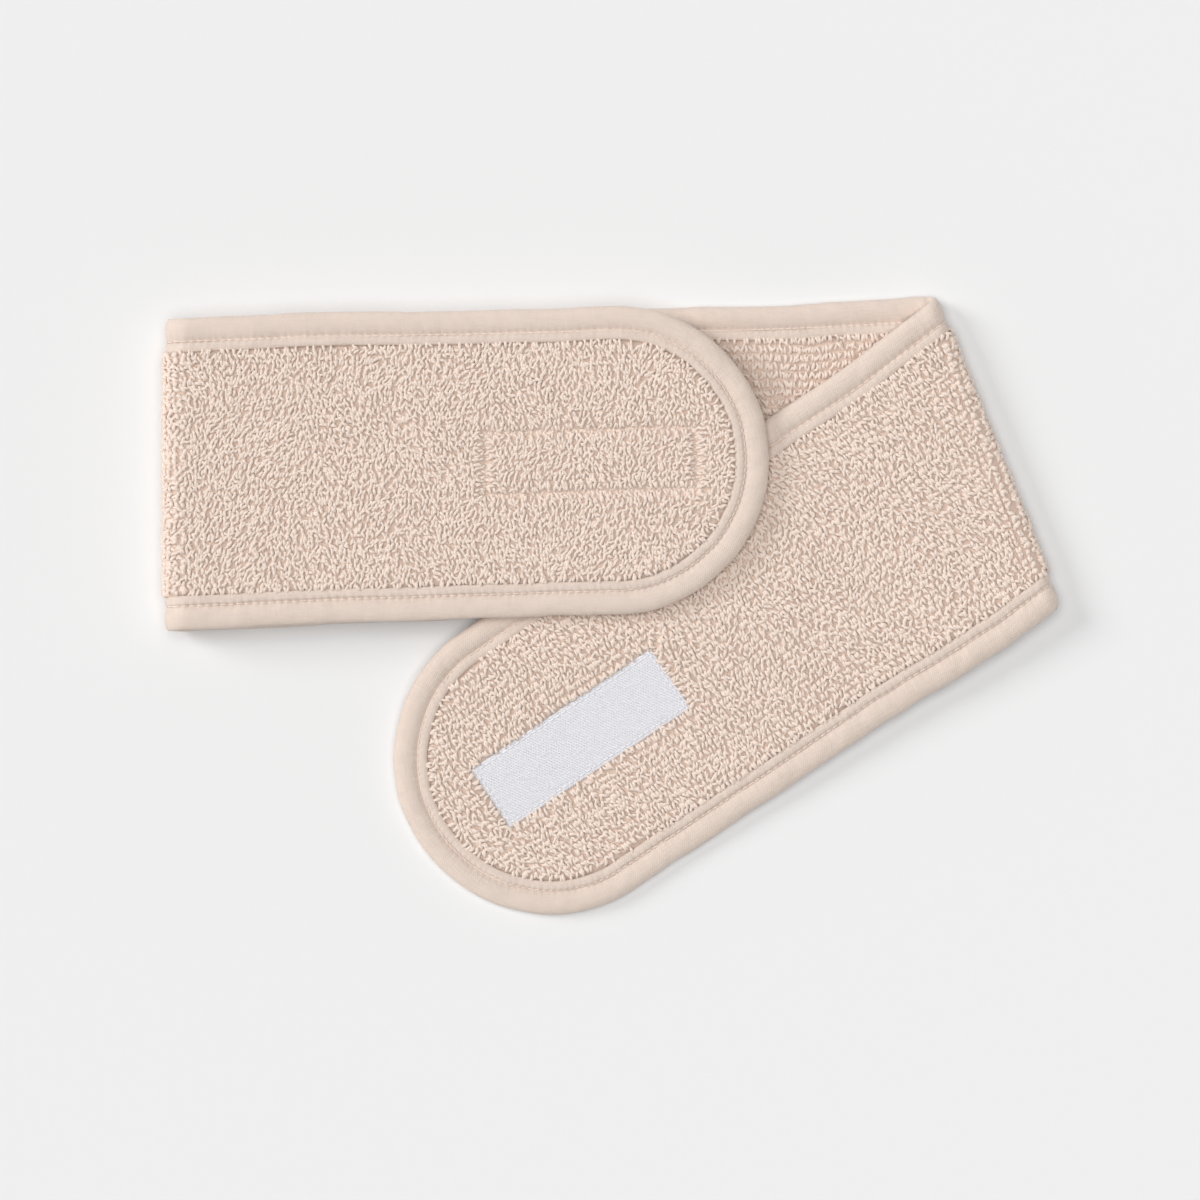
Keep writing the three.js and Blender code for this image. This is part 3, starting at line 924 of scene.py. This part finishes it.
def stitch_run(place_at, total, pitch, radius, lift, material, name):
    """Stitches in a row: a short arch of thread from each needle hole to the next."""
    count, rings, sides = int(total / pitch), 7, 6
    starts = np.arange(count) * (total / count)
    share = np.linspace(0, 1, rings)
    along = starts[:, None, None] + ((0.06 + 0.88 * share) * (total / count))[:, None]
    arch = np.sin(math.pi * share[:, None]) ** 0.5
    around = np.arange(sides) * 2 * math.pi / sides
    thick = radius * (0.55 + 0.45 * arch)
    aside, above = thick * np.cos(around), lift * arch + thick * np.sin(around)
    along, aside, above, around = (
        part.ravel() for part in np.broadcast_arrays(along, aside, above, around)
    )
    faces = tube_faces(count, rings, sides)
    uv = np.stack([along, around * radius], -1)
    return add_piece(name, place_at(along, aside, above), faces, material, uv)


# ---- Patches ----


def patch_slab(patch, face, bottom, top, sizes, material, name):
    """A sewn-on patch: a thin tape with soft edges, drawn down along its stitching."""
    x, y = (
        np.linspace(-reach, reach, 2 * int(reach / CLOTH_GRID) + 1)
        for reach in (patch.long, patch.wide)
    )
    gx, gy = np.meshgrid(x, y, indexing="ij")
    edge = np.minimum(patch.long - np.abs(gx), patch.wide - np.abs(gy))
    sink = 0.14 * MM * np.exp(-(((edge - sizes.seam_inset) / (0.45 * MM)) ** 2))
    soft = 0.22 * MM * np.exp(-edge / (0.3 * MM))
    grain = 0.05 * MM * noise(gx, gy, 1.1 * MM, 8)
    height = top - sink - soft + grain
    upper, lower = (folded(patch.s + gx, gy, face * level) for level in (height, bottom))
    return slab_mesh(upper, lower, face < 0, gx, gy, material, name)


def patch_nap(patch, face, floor, sizes, material, name, pitch, rise, radius, spread, seed):
    """Rows of small hooks, or of looser loops, standing on a patch inside its stitching."""
    rng = np.random.default_rng(seed)
    row_pitch = pitch * 0.8
    x = np.arange(-patch.long + 0.35 * MM, patch.long - 0.3 * MM, pitch)
    y = np.arange(-patch.wide + 0.35 * MM, patch.wide - 0.3 * MM, row_pitch)
    gx, gy = (a.ravel() for a in np.meshgrid(x, y, indexing="ij"))
    gx = gx + (np.round(gy / row_pitch) % 2) * pitch / 2
    gx = gx + rng.normal(0, spread, len(gx)) * pitch
    gy = gy + rng.normal(0, spread, len(gy)) * pitch
    edge = np.minimum(patch.long - np.abs(gx), patch.wide - np.abs(gy))
    keep = (np.abs(edge - sizes.seam_inset) > 0.32 * MM) & (edge > 0.2 * MM)
    gx, gy = gx[keep], gy[keep]
    count, rings, sides = len(gx), 5, 3
    angle = rng.normal(0.6, 0.25 + spread * 3, count)
    turn = np.linspace(0, math.pi * 0.86, rings)[None, :]
    along = -np.cos(turn) * pitch * 0.36
    height = floor + rise * rng.uniform(0.8, 1.0, (count, 1)) * np.sin(turn) ** 0.8
    cx = gx[:, None] + along * np.cos(angle)[:, None]
    cy = gy[:, None] + along * np.sin(angle)[:, None]
    path = np.stack([cx, cy, height], -1)
    ring = tube_rings(path, angle, np.full((count, 1), radius), sides).reshape(-1, 3)
    points = folded(patch.s + ring[:, 0], ring[:, 1], face * ring[:, 2])
    faces = tube_faces(count, rings, sides)
    if face > 0:
        faces = faces[:, ::-1]
    return add_piece(name, points, faces, material, ring[:, :2])


def patch_seam(patch, face, height, sizes, thread, material, name):
    """White stitching round a patch, a little inside its edge."""
    a, b = patch.long - sizes.seam_inset, patch.wide - sizes.seam_inset
    total = 4 * (a + b)

    def route(t, aside, above):
        corners = [0, 2 * a, 2 * a + 2 * b, 4 * a + 2 * b, total]
        x = np.interp(t % total, corners, [-a, a, a, -a, -a])
        y = np.interp(t % total, corners, [-b, -b, b, b, -b])
        level = np.digitize(t % total, corners) % 2 == 1
        x = x + np.where(level, 0, aside)
        y = y + np.where(level, aside, 0)
        return folded(patch.s + x, y, face * (height + above))

    return stitch_run(route, total, 2.0 * MM, thread, 0.1 * MM, material, name)


# ---- Stage ----


def sweep_mesh(stage, material):
    """The studio sweep: far out, the floor curves up into a shallow slope all round."""
    turn = np.linspace(0, 2 * math.pi, 97)[:-1]
    out = np.linspace(0, 1, 25)[:, None] * stage.sweep_width
    bend = stage.sweep_width / 5
    rise = np.where(out < bend, out * out / (2 * bend), out - bend / 2)
    height = rise * math.tan(stage.sweep_slope)
    radius = stage.sweep_start + out
    points = np.stack(np.broadcast_arrays(radius * np.cos(turn), radius * np.sin(turn), height), -1)
    faces = grid_faces(*points.shape[:2], closed=True)
    return add_piece("sweep", points.reshape(-1, 3), faces, material)


# ---- Operators ----


class HEADBAND_OT_cloth(bpy.types.Operator):
    """Weaves the ground cloth, one sheet for each stretch of the band"""

    bl_idname = "headband.cloth"
    bl_label = "Ground cloth"

    def execute(self, context):
        sizes = context.scene.headband_pile
        # The cloth takes the darker ground colour, painted shade for the gaps between the loops.
        material = ground_shade_finish(sizes.shade)
        for stretch in STRETCHES:
            name = f"cloth_{stretch.name}"
            piece = cloth_mesh(stretch, HALF_SHEET, sizes, material, name)
            hang(piece, stretch, [f"terry_{node}" for node in stretch.nodes])
        return {"FINISHED"}


class HEADBAND_OT_pile(bpy.types.Operator):
    """Stands the terry loops on both faces of the cloth"""

    bl_idname = "headband.pile"
    bl_label = "Terry loops"

    def execute(self, context):
        sizes = context.scene.headband_pile
        material = yarn_finish(sizes.colour, sizes.shade)
        # Each stretch's pile is made in three bands, so that no piece is too large to export.
        bands = ("front", "centre", "rear")
        for face, side in FACES:
            feet = loop_feet(sizes, face, 40 + face)
            band_of = np.digitize(feet[1], (-HALF_CENTRE_BAND, HALF_CENTRE_BAND))
            place_of = owner(feet[0], feet[1]) * len(bands) + band_of
            for index in range(len(bands) * len(STRETCHES)):
                stretch = STRETCHES[index // len(bands)]
                name = f"pile_{side}_{stretch.name}_{bands[index % len(bands)]}"
                mine = tuple(part[place_of == index] for part in feet)
                piece = pile_mesh(sizes, mine, face, material, name, 50 + index)
                hang(piece, stretch)
        return {"FINISHED"}


class HEADBAND_OT_binding(bpy.types.Operator):
    """Wraps the tape round the edge and sews it down with a row of lockstitch on each face"""

    bl_idname = "headband.binding"
    bl_label = "Binding and its seam"

    def execute(self, context):
        sizes = context.scene.headband_binding
        tape = tape_finish(sizes.colour)
        thread = thread_finish("binding_thread", scaled(sizes.colour, 1.12))
        for stretch in STRETCHES:
            for side, total in edge_lengths(stretch):
                edge = {0: "", 1: "_rear", -1: "_front"}[side]
                nodes = [f"{node}{edge}" for node in stretch.nodes]
                if not side:
                    bend, leg = stretch.nodes
                    nodes = [f"{bend}_rear", f"{bend}_front", leg]
                name = f"{stretch.name}{edge}"
                piece = binding_mesh(stretch, side, total, sizes, tape, f"tape_{name}")
                hang(piece, stretch, [f"binding_{node}" for node in nodes])
                for face, label in FACES:
                    route = seam_route(stretch, side, face, sizes.stitch_inset)
                    seam = stitch_run(route, total, sizes.stitch_pitch, sizes.thread, 0.22 * MM,
                                      thread, f"stitches_{label}_{name}")
                    stands = [f"seam_{label}_{node}" for node in nodes]
                    hang(seam, stretch, [n for n in stands if n in frame["nodes"]])
        return {"FINISHED"}


def sew_patch(stretch, patch, face, kind, nap):
    """A patch with its tape, its hooks or loops, and its stitching."""
    scene = bpy.context.scene
    sizes = scene.headband_patch
    material = patch_finish(f"{kind}_tape", sizes.colour)
    thread = thread_finish(f"{kind}_patch_thread", scaled(sizes.colour, 1.13))
    bottom = scene.headband_pile.ground / 2
    top = bottom + sizes.thickness
    root = top - 0.1 * MM
    slab = patch_slab(patch, face, bottom, top, sizes, material, f"{kind}_tape_patch")
    fibres = patch_nap(patch, face, root, sizes, material, f"{kind}_tape_nap", **nap)
    radius = 1.3 * scene.headband_binding.thread
    seam = patch_seam(patch, face, root, sizes, radius, thread, f"{kind}_tape_stitches")
    for piece, slot, nodes in (
        (slab, f"{kind}_tape", [f"{kind}_patch"]),
        (fibres, f"{kind}_tape", []),
        (seam, "patch_thread", [f"{kind}_patch_seam"]),
    ):
        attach(piece, stretch.bodies[1])
        if nodes:
            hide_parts(*nodes)


class HEADBAND_OT_patches(bpy.types.Operator):
    """Sews the hook patch to the outer face and the loop patch to the inner face"""

    bl_idname = "headband.patches"
    bl_label = "Hook and loop patches"

    def execute(self, context):
        pitch = context.scene.headband_patch.hook_pitch
        hooks = dict(pitch=pitch, rise=0.42 * MM, radius=0.1 * MM, spread=0.06, seed=70)
        loops = dict(pitch=pitch * 1.1, rise=0.55 * MM, radius=0.09 * MM, spread=0.3, seed=71)
        sew_patch(LOWER_STRETCH, HOOK, 1, "hook", hooks)
        sew_patch(TOP_STRETCH, LOOP, -1, "loop", loops)
        return {"FINISHED"}


class HEADBAND_OT_sheets(bpy.types.Operator):
    """Works out the flat size and area that each stretch of cloth was cut to"""

    bl_idname = "headband.sheets"
    bl_label = "Cut sizes"

    def execute(self, context):
        for stretch in STRETCHES:
            flat = (2 * HALF_SHEET, stretch_length(stretch, HALF_SHEET))
            area = stretch_area(stretch, HALF_SHEET)
        return {"FINISHED"}


class HEADBAND_OT_stage(bpy.types.Operator):
    """Lays the floor and sets the soft light and the camera above the headband"""

    bl_idname = "headband.stage"
    bl_label = "Floor, light and camera"

    def execute(self, context):
        scene = context.scene
        stage = scene.headband_stage
        paint = floor_finish(stage.floor)
        points = np.array([(-3, -3, 0), (3, -3, 0), (3, 3, 0), (-3, 3, 0)], float)
        add_piece("table", points, np.array([[3, 2, 1, 0]]), paint)
        sweep_mesh(stage, paint)
        world = bpy.data.worlds.new("studio")
        world.use_nodes = True
        background = world.node_tree.nodes["Background"]
        background.inputs["Color"].default_value = (1, 1, 1, 1)
        background.inputs["Strength"].default_value = stage.fill
        scene.world = world
        # Each light's name, strength, spread in degrees and the way to it.
        for name, energy, angle, toward in (
            ("key", stage.key, 24, (-0.93, 0.38, 0.56)),
            ("overhead", stage.overhead, 50, (-0.05, 0.03, 1.0)),
        ):
            light = bpy.data.lights.new(name, "SUN")
            light.energy = energy
            light.angle = math.radians(angle)
            lamp = bpy.data.objects.new(name, light)
            lamp.rotation_euler = Vector(toward).to_track_quat("Z", "Y").to_euler()
            scene.collection.objects.link(lamp)
        view = bpy.data.cameras.new("camera")
        camera = bpy.data.objects.new("camera", view)
        # It looks straight down from this height, and sees this much of the floor.
        distance, width, sensor = 1.6, 0.342, 36
        view.sensor_width = sensor
        view.lens = sensor * distance / width
        view.clip_end = 20
        camera.location = (0.0045, -0.0396, distance)
        camera.rotation_euler = (0, 0, math.radians(-1.45))
        scene.collection.objects.link(camera)
        scene.camera = camera
        scene.view_settings.view_transform = "Standard"
        return {"FINISHED"}


class HEADBAND_PT_panel(bpy.types.Panel):
    """Builds the headband piece by piece"""

    bl_label = "Terry headband"
    bl_idname = "HEADBAND_PT_panel"
    bl_space_type = "VIEW_3D"
    bl_region_type = "UI"
    bl_category = "Headband"

    def draw(self, context):
        for operator in OPERATORS:
            self.layout.operator(operator.bl_idname)
        for name in GROUPS:
            box = self.layout.box()
            group = getattr(context.scene, name)
            for prop in group.bl_rna.properties:
                if prop.identifier not in ("rna_type", "name"):
                    box.prop(group, prop.identifier)


OPERATORS = (
    HEADBAND_OT_cloth, HEADBAND_OT_pile, HEADBAND_OT_binding, HEADBAND_OT_patches,
    HEADBAND_OT_sheets, HEADBAND_OT_stage,
)
GROUPS = {
    "headband_pile": HeadbandPile,
    "headband_binding": HeadbandBinding,
    "headband_patch": HeadbandPatch,
    "headband_stage": HeadbandStage,
}


def register():
    for group in GROUPS.values():
        bpy.utils.register_class(group)
    for operator in OPERATORS:
        bpy.utils.register_class(operator)
    bpy.utils.register_class(HEADBAND_PT_panel)
    for name, group in GROUPS.items():
        setattr(bpy.types.Scene, name, bpy.props.PointerProperty(type=group))


def unregister():
    for name in GROUPS:
        delattr(bpy.types.Scene, name)
    bpy.utils.unregister_class(HEADBAND_PT_panel)
    for operator in reversed(OPERATORS):
        bpy.utils.unregister_class(operator)
    for group in reversed(GROUPS.values()):
        bpy.utils.unregister_class(group)


def main():
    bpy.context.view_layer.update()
    register()
    bpy.ops.headband.cloth()
    bpy.ops.headband.pile()
    bpy.ops.headband.binding()
    bpy.ops.headband.patches()
    bpy.ops.headband.sheets()
    bpy.ops.headband.stage()


if __name__ == "__main__":
    main()
